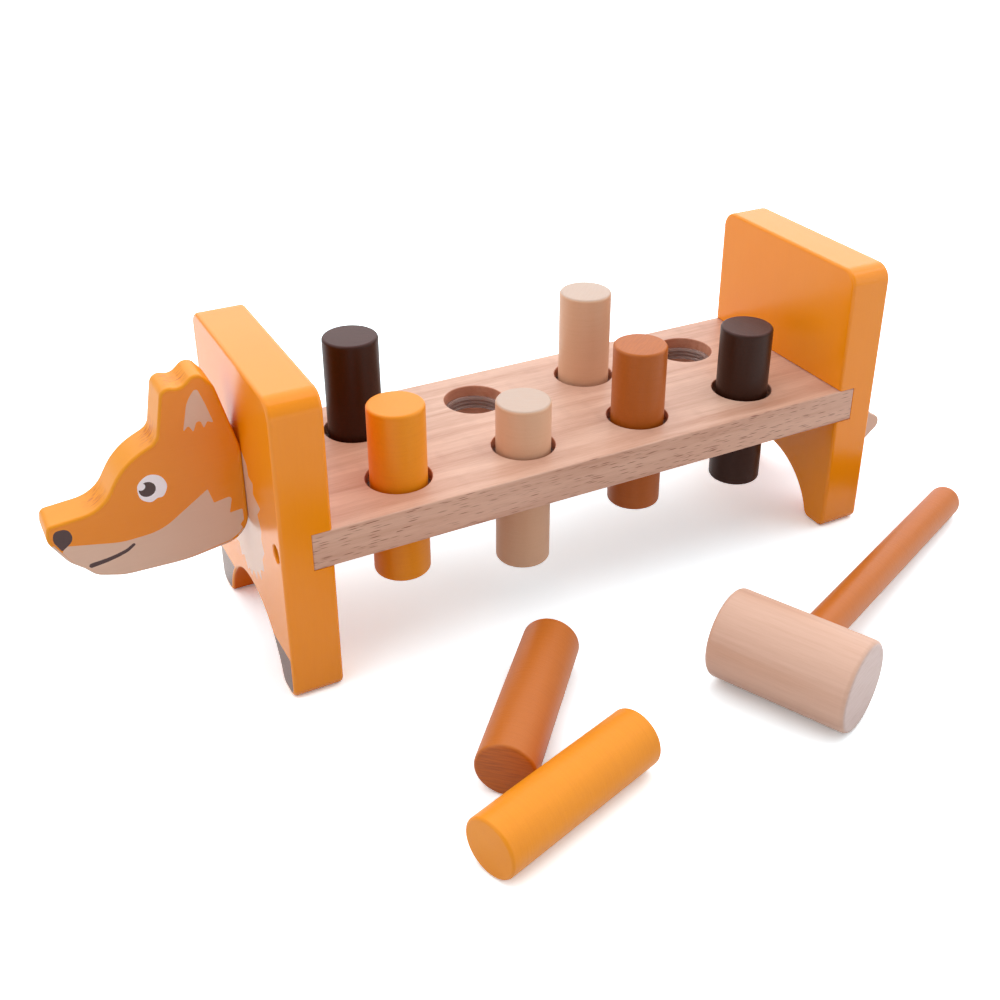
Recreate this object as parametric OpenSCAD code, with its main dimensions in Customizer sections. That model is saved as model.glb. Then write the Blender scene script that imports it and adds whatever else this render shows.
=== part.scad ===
/* [Bench] */
// Length over the outer faces of the two end boards
bench_length = 305; // [280:1:360]
// Width of the end boards and of the plank
bench_width = 102; // [92:1:124]
// Height of the end boards
bench_height = 140; // [124:1:170]
// Thickness of an end board
board_thickness = 22; // [18:0.5:28]
// Radius of an end board's two top corners
board_top_radius = 8; // [3:0.5:16]
// Radius of the corners under the feet
foot_radius = 4.5; // [2:0.5:5]
// Radius of the arch between the feet
arch_radius = 37; // [30:0.5:41]
// Height of the arch's crown above the floor
arch_crown = 29.6; // [20:0.1:36]
// Thickness of the plank
plank_thickness = 17; // [14:0.5:22]
// Depth of the housing that holds the plank's end in a board
housing_depth = 9; // [5:0.5:11]
// Gap between the plank and the sides of its housing
housing_clearance = 0.1; // [0.05:0.05:0.3]

/* [Holes and grip rings] */
// Distance between holes along the plank
hole_pitch = 60.5; // [52:0.5:64]
// Distance between the two rows of holes
row_spacing = 49.5; // [44:0.5:54]
// Diameter of a hole in the plank
hole_diameter = 28.8; // [27.5:0.1:30.5]
// Height of a grip ring
ring_height = 6; // [5:0.1:8]
// Depth of the groove that holds a grip ring in the hole's wall
ring_seat = 1.6; // [1:0.1:2.2]
// Gap between a grip ring and its groove
ring_clearance = 0.1; // [0.05:0.05:0.2]
// Gap between a peg and the ribs that hold it
grip_clearance = 0.05; // [0.02:0.01:0.1]
// Distance between the ribs inside a grip ring
rib_pitch = 1.9; // [1.6:0.1:2.2]
// How far a rib stands in from the ring's inner wall
rib_depth = 0.5; // [0.2:0.1:0.7]
// Width of the flat crest of a rib
rib_crest = 0.7; // [0.3:0.1:0.9]

/* [Pegs] */
// Diameter of a peg
peg_diameter = 25; // [23:0.1:26]
// Length of a peg
peg_length = 81.3; // [74:0.1:92]
// Radius of the rounded edge at a peg's ends
peg_edge = 1.3; // [0.5:0.1:3]
// Height of the yellow peg above the plank, first in the front row
yellow_stand = 35.1; // [10:0.1:50]
// Height of the front cream peg above the plank, second in its row
front_cream_stand = 22.4; // [10:0.1:50]
// Height of the rust peg above the plank, third in the front row
rust_stand = 36.3; // [10:0.1:50]
// Height of the front brown peg above the plank, fourth in its row
front_brown_stand = 33; // [10:0.1:50]
// Height of the back brown peg above the plank, first in its row
back_brown_stand = 46; // [10:0.1:50]
// Height of the back cream peg above the plank, third in its row
back_cream_stand = 44.2; // [10:0.1:50]

/* [Fox head and tail] */
// Size of one square of the grid that the sawn outlines are drawn on
outline_grid = 1; // [0.95:0.01:1.1]
// Thickness of the head board
head_thickness = 17; // [12:0.5:24]
// How far the nose reaches out from the front board
head_reach = 80; // [74:0.5:95]
// Height of the jaw's underside above the floor
jaw_height = 54; // [44:0.5:60]
// Height of the ears above the jaw's underside
ear_height = 82.7; // [78:0.1:95]
// Thickness of the tail board
tail_thickness = 17; // [12:0.5:24]
// How far the tail reaches out from the rear board
tail_reach = 51; // [46:0.5:65]
// Height of the tail's root above the floor
tail_height = 90; // [86:0.5:100]

/* [Dowels and screws] */
// Diameter of the dowels that hold the head and the tail
dowel_diameter = 8; // [6:0.5:10]
// Depth of a dowel in the head or the tail
dowel_depth = 14; // [10:0.5:18]
// Wood left between a dowel's hole and the plank's housing
dowel_wall = 3; // [2:0.5:5]
// Gap between a dowel and its hole
dowel_clearance = 0.05; // [0.02:0.01:0.1]
// Radius of the rounded edge at a dowel's ends
dowel_edge = 0.8; // [0.3:0.1:1.5]
// Distance of a screw from the board's side
screw_inset = 6.5; // [5.5:0.5:8]
// Diameter of a screw's shank
screw_shank = 5; // [4:0.1:6]
// Diameter of a screw's head
screw_head = 7.4; // [6.8:0.1:8.4]
// Height of a screw's head
screw_head_height = 4; // [3:0.1:5]
// Depth of the hole that a screw's head sits in
counterbore_depth = 6; // [5:0.1:7]
// Depth of a screw in the plank's end
screw_grip = 30; // [20:1:40]
// Size across the flats of a screw's six-sided socket
socket_flats = 4; // [3:0.5:4.5]
// Depth of a screw's socket
socket_depth = 2.5; // [1.5:0.1:2.8]
// Gap between a screw and its hole
screw_clearance = 0.1; // [0.05:0.05:0.3]

/* [Mallet] */
// Diameter of the mallet's head
mallet_diameter = 40; // [34:0.5:48]
// Length of the mallet's head
mallet_length = 63; // [54:0.5:74]
// Radius of the rounded edge at the ends of the mallet's head
mallet_edge = 2.3; // [0.8:0.1:4]
// Diameter of the handle
handle_diameter = 16; // [13:0.5:20]
// Distance from the middle of the mallet's head to the handle's end
handle_reach = 186; // [160:1:205]
// Radius of the rounding at the handle's end
handle_edge = 6.5; // [2:0.1:6.5]
// Wood left beyond the handle's socket in the mallet's head
socket_wall = 10; // [6:0.5:13]
// Gap between the handle and its socket
socket_clearance = 0.05; // [0.02:0.01:0.1]

/* [Loose pieces on the floor] */
// Place of the loose yellow peg along the bench, from the bench's middle
loose_x = -84.3; // [-100:0.1:-75]
// Place of the loose yellow peg across the bench, from the bench's middle
loose_y = -160.2; // [-180:0.1:-158]
// Turn of the loose yellow peg from the bench's length
loose_turn = 17.3; // [0:0.1:30]
// Turn of the loose rust peg from the yellow one
rust_turn = 30.8; // [10:0.1:60]
// Place of the loose rust peg along the yellow one, from its middle
rust_along = 25.4; // [10:0.1:35]
// Gap between the loose rust peg and the yellow one
loose_gap = 0.45; // [0.35:0.05:5]
// Place of the mallet's head along the bench, from the bench's middle
mallet_x = 32.4; // [20:0.1:50]
// Place of the mallet's head across the bench, from the bench's middle
mallet_y = -146.4; // [-165:0.1:-144]
// Turn of the handle from the bench's length
mallet_turn = 25.1; // [10:0.1:27]

/* [Hidden] */
// Paint and wood as they look
orange_paint = [0.93, 0.57, 0.17];
yellow_paint = [0.94, 0.62, 0.2];
cream_paint = [0.88, 0.77, 0.64];
rust_paint = [0.76, 0.42, 0.19];
brown_paint = [0.27, 0.19, 0.16];
beech = [0.85, 0.71, 0.61];
pale_wood = [0.88, 0.76, 0.65];
clear_plastic = [0.8, 0.82, 0.84, 0.5];
zinc = [0.72, 0.73, 0.75];

// Smoothness of round shapes, the largest turn between two points of an outline's arc
$fn = 96;
arc_step = 6;
// How far a cutting shape runs past what it cuts, and the room at a blind hole's end
cut_margin = 1;
end_room = 0.3;

// Bench, measured from its middle on the floor
outer_x = bench_length / 2;
plank_middle = bench_height / 2;
plank_top = plank_middle + plank_thickness / 2;
plank_length = bench_length - 2 * (board_thickness - housing_depth);
web = board_thickness - housing_depth;
arch_z = arch_crown - arch_radius;
fillet_y = sqrt(pow(arch_radius + foot_radius, 2) - pow(foot_radius - arch_z, 2));
arch_foot_y = sqrt(pow(arch_radius, 2) - pow(arch_z, 2));
arch_touch = [fillet_y, foot_radius - arch_z] * arch_radius / (arch_radius + foot_radius) + [0, arch_z];

// Holes: front row first, each row from the head to the tail
hole_columns = 4;
hole_places = [for (row = [-1, 1]) for (column = [0 : hole_columns - 1])
    [(column - (hole_columns - 1) / 2) * hole_pitch, row * row_spacing / 2]];
ring_radius = hole_diameter / 2 + ring_seat;
grip_radius = peg_diameter / 2 + grip_clearance;
rib_foot = rib_crest / 2 + rib_depth;

// Screws and dowels
screw_y = bench_width / 2 - screw_inset;
counterbore = screw_head + 2 * screw_clearance;
dowel_in_board = web - dowel_wall;
head_dowel_heights = [for (up = [20, 38]) jaw_height + up * outline_grid];
tail_dowel_heights = [for (down = [28, 12]) tail_height - down * outline_grid];

// Corners of the sawn outlines: distance from the end board, height and rounding radius, drawn on the grid
// from the board and the jaw, from the nose and the jaw, or from the board and the ear tips
function skull(out, up, radius) = [out * outline_grid, jaw_height + up * outline_grid, radius * outline_grid];
function snout(out, up, radius) = skull(out, up, radius) + [head_reach, 0, 0];
function ear(out, up, radius) = skull(out, up, radius) + [0, ear_height, 0];
head_corners = [
    skull(0, 46.5, 20),
    skull(0, 4.3, 12),
    skull(27, 0, 60),
    snout(-27, 0.6, 25),
    snout(-16.4, 3.9, 8),
    snout(-12.3, 8.5, 5),
    snout(-7, 13, 14),
    snout(0, 24.6, 8),
    snout(-1, 31.4, 2.8),
    snout(-22.3, 33.2, 15),
    snout(-32.7, 51.1, 28),
    skull(33, 57.8, 6),
    ear(28.8, -1.7, 4),
    ear(21.4, -4.4, 4.5),
    ear(14.1, 2.1, 4.2),
    ear(7.9, -6.1, 10),
];

// The tail's corners are drawn from the board or from the tip's reach, and down from the root's top
function tail_root(out, down, radius) = [out * outline_grid, tail_height - down * outline_grid, radius * outline_grid];
function tail_tip(out, down, radius) = tail_root(out, down, radius) + [tail_reach, 0, 0];
tail_corners = [
    tail_root(0, 0, 6),
    tail_root(17, 4, 20),
    tail_tip(-14, 32, 40),
    tail_tip(-8.8, 58, 8),
    tail_tip(3.3, 65.2, 4.8),
    tail_tip(-11.5, 77.3, 12),
    tail_tip(-25, 81, 16),
    tail_root(10, 63, 20),
    tail_root(0, 40, 10),
];

// Points of the arc that rounds one corner of an outline
function unit(v) = v / norm(v);
function corner_arc(before, corner, after) =
    let (
        place = [corner[0], corner[1]],
        radius = corner[2],
        back = unit([before[0], before[1]] - place),
        ahead = unit([after[0], after[1]] - place),
        half = acos(back * ahead) / 2,
        centre = place + unit(back + ahead) * radius / sin(half),
        first = place + back * radius / tan(half) - centre,
        last = place + ahead * radius / tan(half) - centre,
        start = atan2(first[1], first[0]),
        turn = (atan2(last[1], last[0]) - start + 540) % 360 - 180,
        steps = ceil(abs(turn) / arc_step)
    )
    [for (i = [0 : steps]) centre + radius * [cos(start + turn * i / steps), sin(start + turn * i / steps)]];
function rounded_outline(corners) =
    let (count = len(corners))
    [for (i = [0 : count - 1])
        each corner_arc(corners[(i + count - 1) % count], corners[i], corners[(i + 1) % count])];
head_outline = rounded_outline(head_corners);
tail_outline = rounded_outline(tail_corners);

// How far a round rod with rounded ends reaches from its middle, on a line at an angle to its axis
function rod_reach(length, radius, edge, angle) =
    (length / 2 - edge) * abs(cos(angle)) + (radius - edge) * abs(sin(angle)) + edge;

// Loose pegs, side by side on the floor
peg_radius = peg_diameter / 2;
loose_yellow = [loose_x, loose_y];
yellow_axis = [cos(loose_turn), sin(loose_turn)];
yellow_side = [-yellow_axis[1], yellow_axis[0]];
rust_off = peg_radius + loose_gap + rod_reach(peg_length, peg_radius, peg_edge, 90 - rust_turn);
loose_rust = loose_yellow + rust_along * yellow_axis + rust_off * yellow_side;
loose_rust_turn = loose_turn + rust_turn;

// The mallet lies on its head, with the handle's end down on the floor
mallet_radius = mallet_diameter / 2;
handle_radius = handle_diameter / 2;
handle_start = socket_wall - mallet_radius;
end_along = handle_reach - handle_edge;
end_across = handle_radius - handle_edge;
handle_slope = asin((mallet_radius - handle_edge) / norm([end_along, end_across])) - atan2(end_across, end_along);
handle_axis_x = cos(handle_slope) * cos(mallet_turn);
handle_end_x = mallet_x + end_along * handle_axis_x + end_across * sqrt(1 - pow(handle_axis_x, 2)) + handle_edge;

// The origin is under the middle of the box that holds the bench and the loose pieces
low_x = -outer_x - max([for (p = head_outline) p[0]]);
high_x = max(outer_x + max([for (p = tail_outline) p[0]]), handle_end_x);
low_y = min(
    loose_yellow[1] - rod_reach(peg_length, peg_radius, peg_edge, 90 - loose_turn),
    loose_rust[1] - rod_reach(peg_length, peg_radius, peg_edge, 90 - loose_rust_turn),
    mallet_y - rod_reach(mallet_length, mallet_radius, mallet_edge, mallet_turn)
);
high_y = bench_width / 2;
bench_place = [-(low_x + high_x) / 2, -(low_y + high_y) / 2, 0];

// Pegs in the bench: node, hole, height above the plank, paint
bench_pegs = [
    ["yellow_peg_front_1", 0, yellow_stand, yellow_paint],
    ["cream_peg_front_2", 1, front_cream_stand, cream_paint],
    ["rust_peg_front_3", 2, rust_stand, rust_paint],
    ["brown_peg_front_4", 3, front_brown_stand, brown_paint],
    ["brown_peg_back_1", 4, back_brown_stand, brown_paint],
    ["cream_peg_back_3", 6, back_cream_stand, cream_paint],
];
ring_nodes = [for (row = ["front", "back"]) for (column = [1 : hole_columns]) str("grip_ring_", row, "_", column)];

// The piece of a square corner that a rounding of this radius takes away
module corner_waste(radius) {
    difference() {
        square(radius + cut_margin);
        circle(radius);
    }
}

// A round rod on +Z with rounded edges at its start and its end
module rod(length, radius, start_edge, end_edge) {
    rotate_extrude()
    difference() {
        square([radius, length]);
        if (start_edge > 0) translate([radius - start_edge, start_edge]) mirror([0, 1]) corner_waste(start_edge);
        if (end_edge > 0) translate([radius - end_edge, length - end_edge]) corner_waste(end_edge);
    }
}

// Turns a shape drawn on +Z so that it runs along +X
module along_x() {
    rotate([0, 90, 0]) children();
}

// Bench frame: children are drawn from the middle of the bench on the floor
module on_bench() {
    translate(bench_place) children();
}

// The rear end is the front end turned half round
module rear_end() {
    rotate([0, 0, 180]) children();
}

// Outline of an end board with round top corners, an arch and rounded feet
module board_outline() {
    difference() {
        translate([-bench_width / 2, 0]) square([bench_width, bench_height]);
        translate([0, arch_z]) circle(arch_radius);
        for (side = [0, 1]) mirror([side, 0]) {
            translate([bench_width / 2 - board_top_radius, bench_height - board_top_radius])
                corner_waste(board_top_radius);
            translate([bench_width / 2 - foot_radius, foot_radius]) mirror([0, 1]) corner_waste(foot_radius);
            difference() {
                polygon([[fillet_y, -cut_margin], [fillet_y, 0], arch_touch, [arch_foot_y - foot_radius, 0],
                    [arch_foot_y - foot_radius, -cut_margin]]);
                translate([fillet_y, foot_radius]) circle(foot_radius);
            }
        }
    }
}

// Screw holes in the front end, through the board and into the plank
module screw_holes() {
    for (side = [-1, 1]) translate([-outer_x, side * screw_y, plank_middle]) along_x() {
        translate([0, 0, -cut_margin]) cylinder(h = counterbore_depth + cut_margin, d = counterbore);
        cylinder(h = web + screw_grip + end_room, d = screw_shank + 2 * screw_clearance);
    }
}

// Dowel holes at an end board's outer face, here at x = 0 with the board on the +X side
module dowel_holes(heights) {
    for (height = heights) translate([-dowel_depth - end_room, 0, height]) along_x()
        cylinder(h = dowel_depth + dowel_in_board + 2 * end_room, d = dowel_diameter + 2 * dowel_clearance);
}

module dowels(heights) {
    for (height = heights) translate([-dowel_depth, 0, height]) along_x()
        rod(dowel_depth + dowel_in_board, dowel_diameter / 2, dowel_edge, dowel_edge);
}

module screws() {
    for (side = [-1, 1]) translate([-outer_x + counterbore_depth, side * screw_y, plank_middle]) along_x()
        difference() {
            union() {
                translate([0, 0, -screw_head_height]) cylinder(h = screw_head_height, d = screw_head);
                cylinder(h = web - counterbore_depth + screw_grip, d = screw_shank);
            }
            translate([0, 0, -screw_head_height - cut_margin])
                cylinder(h = socket_depth + cut_margin, d = socket_flats / cos(30), $fn = 6);
        }
}

module end_board(dowel_heights) {
    color(orange_paint)
    difference() {
        translate([-outer_x, 0, 0]) rotate([90, 0, 90]) linear_extrude(board_thickness) board_outline();
        translate([-outer_x + web, -bench_width / 2 - cut_margin, plank_middle - plank_thickness / 2 - housing_clearance])
            cube([housing_depth + cut_margin, bench_width + 2 * cut_margin, plank_thickness + 2 * housing_clearance]);
        screw_holes();
        translate([-outer_x, 0, 0]) dowel_holes(dowel_heights);
    }
}

module bench_plank() {
    color(beech)
    difference() {
        translate([-plank_length / 2, -bench_width / 2, plank_middle - plank_thickness / 2])
            cube([plank_length, bench_width, plank_thickness]);
        for (place = hole_places) translate([place[0], place[1], plank_middle]) {
            cylinder(h = plank_thickness + 2 * cut_margin, d = hole_diameter, center = true);
            cylinder(h = ring_height + 2 * ring_clearance, r = ring_radius + ring_clearance, center = true);
        }
        screw_holes();
        rear_end() screw_holes();
    }
}

// A board cut to an outline that stands out from the front end, with its dowel holes
module cut_board(outline, thickness, dowel_heights) {
    difference() {
        translate([-outer_x, thickness / 2, 0]) rotate([90, 0, 0]) linear_extrude(thickness)
            polygon([for (p = outline) [-p[0], p[1]]]);
        translate([-outer_x, 0, 0]) dowel_holes(dowel_heights);
    }
}

module fox_head() {
    color(orange_paint) cut_board(head_outline, head_thickness, head_dowel_heights);
}

module fox_tail() {
    color(orange_paint) cut_board(tail_outline, tail_thickness, tail_dowel_heights);
}

module end_dowels(heights) {
    color(beech) translate([-outer_x, 0, 0]) dowels(heights);
}

module end_screws() {
    color(zinc) screws();
}

// A clear ring in its groove, with ribs that hold a peg by friction
module grip_ring(place) {
    color(clear_plastic)
    translate([place[0], place[1], plank_middle])
    rotate_extrude() {
        translate([grip_radius + rib_depth, -ring_height / 2])
            square([ring_radius - grip_radius - rib_depth, ring_height]);
        for (rib = [-1 : 1]) translate([grip_radius, rib * rib_pitch])
            polygon([[0, -rib_crest / 2], [rib_depth, -rib_foot], [rib_depth, rib_foot], [0, rib_crest / 2]]);
    }
}

module peg(paint) {
    color(paint) rod(peg_length, peg_radius, peg_edge, peg_edge);
}

module bench_peg(place, stand, paint) {
    translate([place[0], place[1], plank_top + stand - peg_length]) peg(paint);
}

module loose_peg(place, turn, paint) {
    translate([place[0], place[1], peg_radius]) rotate([0, 0, turn]) along_x()
        translate([0, 0, -peg_length / 2]) peg(paint);
}

// Mallet frame: the head's axis is Y, the handle runs along +X
module mallet_frame() {
    translate([mallet_x, mallet_y, mallet_radius]) rotate([0, handle_slope, mallet_turn]) children();
}

module mallet_head() {
    color(pale_wood)
    mallet_frame() difference() {
        translate([0, mallet_length / 2, 0]) rotate([90, 0, 0])
            rod(mallet_length, mallet_radius, mallet_edge, mallet_edge);
        translate([handle_start - end_room, 0, 0]) along_x()
            cylinder(h = mallet_radius - handle_start + end_room + cut_margin, r = handle_radius + socket_clearance);
    }
}

module mallet_handle() {
    color(rust_paint)
    mallet_frame() translate([handle_start, 0, 0]) along_x()
        rod(handle_reach - handle_start, handle_radius, 0, handle_edge);
}

on_bench() bench_plank();
on_bench() end_board(head_dowel_heights);  // front_end_board
on_bench() rear_end() end_board(tail_dowel_heights);  // rear_end_board
on_bench() fox_head();
on_bench() rear_end() fox_tail();
on_bench() end_dowels(head_dowel_heights);  // head_dowels
on_bench() rear_end() end_dowels(tail_dowel_heights);  // tail_dowels
on_bench() end_screws();  // front_board_screws
on_bench() rear_end() end_screws();  // rear_board_screws
for (i = [0 : len(ring_nodes) - 1])
    on_bench() grip_ring(hole_places[i]);
for (peg = bench_pegs)
    on_bench() bench_peg(hole_places[peg[1]], peg[2], peg[3]);
on_bench() loose_peg(loose_yellow, loose_turn, yellow_paint);  // yellow_peg_loose
on_bench() loose_peg(loose_rust, loose_rust_turn, rust_paint);  // rust_peg_loose
on_bench() mallet_head();
on_bench() mallet_handle();
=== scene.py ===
import math

import bmesh
import bpy
import numpy as np
from mathutils import Matrix, Vector
from mathutils.geometry import delaunay_2d_cdt


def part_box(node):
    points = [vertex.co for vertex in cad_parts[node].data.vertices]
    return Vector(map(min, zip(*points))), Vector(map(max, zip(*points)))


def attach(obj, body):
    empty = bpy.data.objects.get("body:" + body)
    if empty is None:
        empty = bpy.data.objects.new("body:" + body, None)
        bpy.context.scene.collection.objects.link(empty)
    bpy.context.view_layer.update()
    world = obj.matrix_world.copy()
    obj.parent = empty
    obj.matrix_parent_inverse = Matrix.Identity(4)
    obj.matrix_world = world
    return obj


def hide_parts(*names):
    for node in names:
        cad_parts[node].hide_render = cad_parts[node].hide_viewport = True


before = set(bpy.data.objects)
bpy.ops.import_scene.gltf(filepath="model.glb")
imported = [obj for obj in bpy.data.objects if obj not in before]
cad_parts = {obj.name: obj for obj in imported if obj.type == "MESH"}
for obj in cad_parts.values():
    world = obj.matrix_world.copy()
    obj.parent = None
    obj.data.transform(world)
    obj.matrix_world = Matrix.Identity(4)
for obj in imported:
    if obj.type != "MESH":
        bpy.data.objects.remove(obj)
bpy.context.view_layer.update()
mm = 0.001

# The bench's own frame: millimetres from the middle of the bench on the floor
frontLow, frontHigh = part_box("front_end_board")
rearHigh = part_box("rear_end_board")[1]
plankLow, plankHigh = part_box("bench_plank")
benchMiddle = np.array([(frontLow.x + rearHigh.x) / 2, (frontLow.y + frontHigh.y) / 2, 0])
boardX = (rearHigh.x - frontLow.x) / 2 / mm        # outer face of an end board
boardWidth = (frontHigh.y - frontLow.y) / mm
boardHeight = frontHigh.z / mm
boardThickness = (frontHigh.x - frontLow.x) / mm
plankLength = (plankHigh.x - plankLow.x) / mm
plankThickness = (plankHigh.z - plankLow.z) / mm
plankHeight = (plankHigh.z + plankLow.z) / 2 / mm
pegLow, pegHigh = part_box("yellow_peg_front_1")
pegLength = (pegHigh.z - pegLow.z) / mm


def fromBench(place):                              # a place in the row frame, in the bench's own
    return (np.array(place) - benchMiddle) / mm


# Outlines

def unit(vectors):
    return vectors / np.linalg.norm(vectors, axis=-1, keepdims=True)


# Corners are (across, up, radius): straight lines between the corners, and at each an arc of that radius
# that touches both lines
def roundedOutline(corners, arcStep=5.0):
    corners = np.asarray(corners, float)
    place, radius = corners[:, :2], corners[:, 2:]
    turnsLeft = np.cross(place, np.roll(place, -1, 0)).sum() > 0
    back = unit(np.roll(place, 1, 0) - place)
    ahead = unit(np.roll(place, -1, 0) - place)
    half = np.arccos(np.clip((back * ahead).sum(1, keepdims=True), -1, 1)) / 2
    centre = place + unit(back + ahead) * radius / np.sin(half)
    first = place + back * radius / np.tan(half) - centre
    last = place + ahead * radius / np.tan(half) - centre
    start = np.arctan2(first[:, 1], first[:, 0])
    turn = (np.arctan2(last[:, 1], last[:, 0]) - start + 3 * math.pi) % (2 * math.pi) - math.pi
    line, outward = [], []
    for i in range(len(corners)):
        steps = max(2, math.ceil(abs(math.degrees(turn[i])) / arcStep))
        angle = start[i] + turn[i] * np.linspace(0, 1, steps + 1)
        spoke = np.stack([np.cos(angle), np.sin(angle)], 1)
        line.append(centre[i] + radius[i] * spoke)
        outward.append(spoke * math.copysign(1, turn[i]))
    line, outward = np.concatenate(line), np.concatenate(outward)
    return (line, outward) if turnsLeft else (line[::-1], -outward[::-1])


# The corners of the line that runs inside an outline at a distance. A corner moves along its bisector,
# and one that turns inward gets a larger radius
def insetCorners(corners, inset):
    corners = np.asarray(corners, float)
    place = corners[:, :2]
    back, ahead = unit(np.roll(place, 1, 0) - place), unit(np.roll(place, -1, 0) - place)
    half = np.arccos((back * ahead).sum(1)) / 2
    shift = inset * np.sign(np.cross(ahead, back)) * np.sign(np.cross(place, np.roll(place, -1, 0)).sum())
    moved = place + unit(back + ahead) * (shift / np.sin(half))[:, None]
    return np.column_stack([moved, corners[:, 2] - shift]).tolist()


# Which points lie inside a closed line: a level ray to the right crosses the line an odd number of times
def insideLine(points, ring):
    start, end = ring, np.roll(ring, -1, 0)
    across, up = points[:, :1], points[:, 1:]
    slope = (end[:, 0] - start[:, 0]) / np.where(end[:, 1] == start[:, 1], 1, end[:, 1] - start[:, 1])
    crossed = (start[:, 1] > up) != (end[:, 1] > up)
    return (crossed & (across < start[:, 0] + slope * (up - start[:, 1]))).sum(1) % 2 == 1


# Points on a cubic through each pair of neighbours, with the slope there taken from the points on both sides
def smoothLine(points, closed, spans=7):
    points = np.asarray(points, float)
    if not closed:
        points = np.concatenate([[2 * points[0] - points[1]], points, [2 * points[-1] - points[-2]]])
    a, b, c, d = (np.roll(points, 1 - i, 0)[:, None] for i in range(4))
    t = np.linspace(0, 1, spans, endpoint=False)[None, :, None]
    curve = b + (c - a) * t / 2 + (a - 2.5 * b + 2 * c - d / 2) * t**2 + (1.5 * (b - c) + (d - a) / 2) * t**3
    if closed:
        return curve.reshape(-1, 2)
    return np.concatenate([curve[1:-2].reshape(-1, 2), points[-2:-1]])


# The outline round a brush line: the line moved to both sides by half its width, half circles at its ends
def brushStroke(points, startWidth, endWidth):
    line = smoothLine(points, False)
    along = unit(np.gradient(line, axis=0))
    side = np.stack([-along[:, 1], along[:, 0]], 1)
    reach = np.linspace(startWidth, endWidth, len(line))[:, None] / 2
    bow = np.linspace(0, math.pi, 9)[1:-1, None]
    endCap = line[-1] + reach[-1] * (side[-1] * np.cos(bow) + along[-1] * np.sin(bow))
    startCap = line[0] - reach[0] * (side[0] * np.cos(bow) + along[0] * np.sin(bow))
    return np.concatenate([line + side * reach, endCap, (line - side * reach)[::-1], startCap])


def circleLine(centre, radius, count=32):
    angle = np.linspace(0, 2 * math.pi, count, endpoint=False)
    return np.asarray(centre) + radius * np.stack([np.cos(angle), np.sin(angle)], 1)


def mirrored(half):                                # the corners of one half, and the same on the other side
    return list(half) + [(-across, up, radius) for across, up, radius in reversed(half) if across]


# Surfaces

def gridFaces(rows, columns, ring=False):          # quads between rows of points, each row a closed ring
    row = np.arange(rows if ring else rows - 1)[:, None]
    column = np.arange(columns)[None, :]
    nextRow, nextColumn = (row + 1) % rows, (column + 1) % columns
    corners = [row * columns + column, row * columns + nextColumn,
               nextRow * columns + nextColumn, nextRow * columns + column]
    return np.stack(corners, -1).reshape(-1, 4).tolist()


# Triangles that fill a face's rim, split along the painted shapes so that each shape's edge is crisp
def fillFace(rim, prints):
    rings = [rim] + [shape for shape, paint in prints]
    paints = [0] + [paint for shape, paint in prints]
    points = [Vector(p) for p in np.concatenate(rings)]
    ends = np.cumsum([len(ring) for ring in rings]).tolist()
    loops = []
    for ring, end in zip(rings, ends):
        loop = list(range(end - len(ring), end))
        loops.append(loop if np.cross(ring, np.roll(ring, -1, 0)).sum() > 0 else loop[::-1])
    places, _, triangles, source, _, inside = delaunay_2d_cdt(points, [], loops, 1, 1e-7)
    home = [next((i for i in found if i < len(rim)), -1) for found in source]
    extra = [i for i, h in enumerate(home) if h < 0]
    for k, i in enumerate(extra):
        home[i] = len(rim) + k
    faces = [[home[i] for i in triangle] for triangle in triangles]
    marks = [paints[max(found)] for found in inside]
    return np.array([places[i] for i in extra]).reshape(-1, 2), faces, marks


# A sawn board: a quarter round at each face carried round the outline, and both faces filled. A painted shape
# that comes up to a face's rim goes on over most of the quarter round.
# Points are (across, up, depth), with depth 0 at the first face
def sawnBoard(corners, thickness, edge, prints=(), bothFaces=False, rimPaint=0, edgeSteps=5):
    line, outward = roundedOutline(corners)
    quarter = np.linspace(0, math.pi / 2, edgeSteps + 1)
    inset = edge * (1 - np.sin(quarter))
    depth = edge * (1 - np.cos(quarter))
    inset = np.concatenate([inset, inset[::-1]])
    depth = np.concatenate([depth, thickness - depth[::-1]])
    rim = np.empty((len(inset), len(line), 3))
    rim[:, :, :2] = line - outward * inset[:, None, None]
    rim[:, :, 2] = depth[:, None]
    faces = gridFaces(len(inset), len(line))
    rimPaints = np.full((len(inset) - 1, len(line)), rimPaint)
    for shape, paint in prints:
        reached = insideLine(line - outward * edge * 1.3, shape)    # where the shape comes up to the rim
        rimPaints[:edgeSteps - 1, reached] = paint
        if bothFaces:
            rimPaints[1 - edgeSteps:, reached] = paint
    paints = rimPaints.ravel().tolist()
    points = [rim.reshape(-1, 3)]
    for first, shapes in ((True, prints), (False, prints if bothFaces else ())):
        rimStart = 0 if first else (len(inset) - 1) * len(line)
        inner, filled, marks = fillFace(rim[0, :, :2], shapes)
        innerStart = sum(len(p) for p in points) - len(line)
        order = 1 if first else -1
        faces += [[i + (rimStart if i < len(line) else innerStart) for i in face][::order] for face in filled]
        paints += marks
        points.append(np.column_stack([inner, np.full(len(inner), 0 if first else thickness)]))
    return np.concatenate(points), faces, paints


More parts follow.
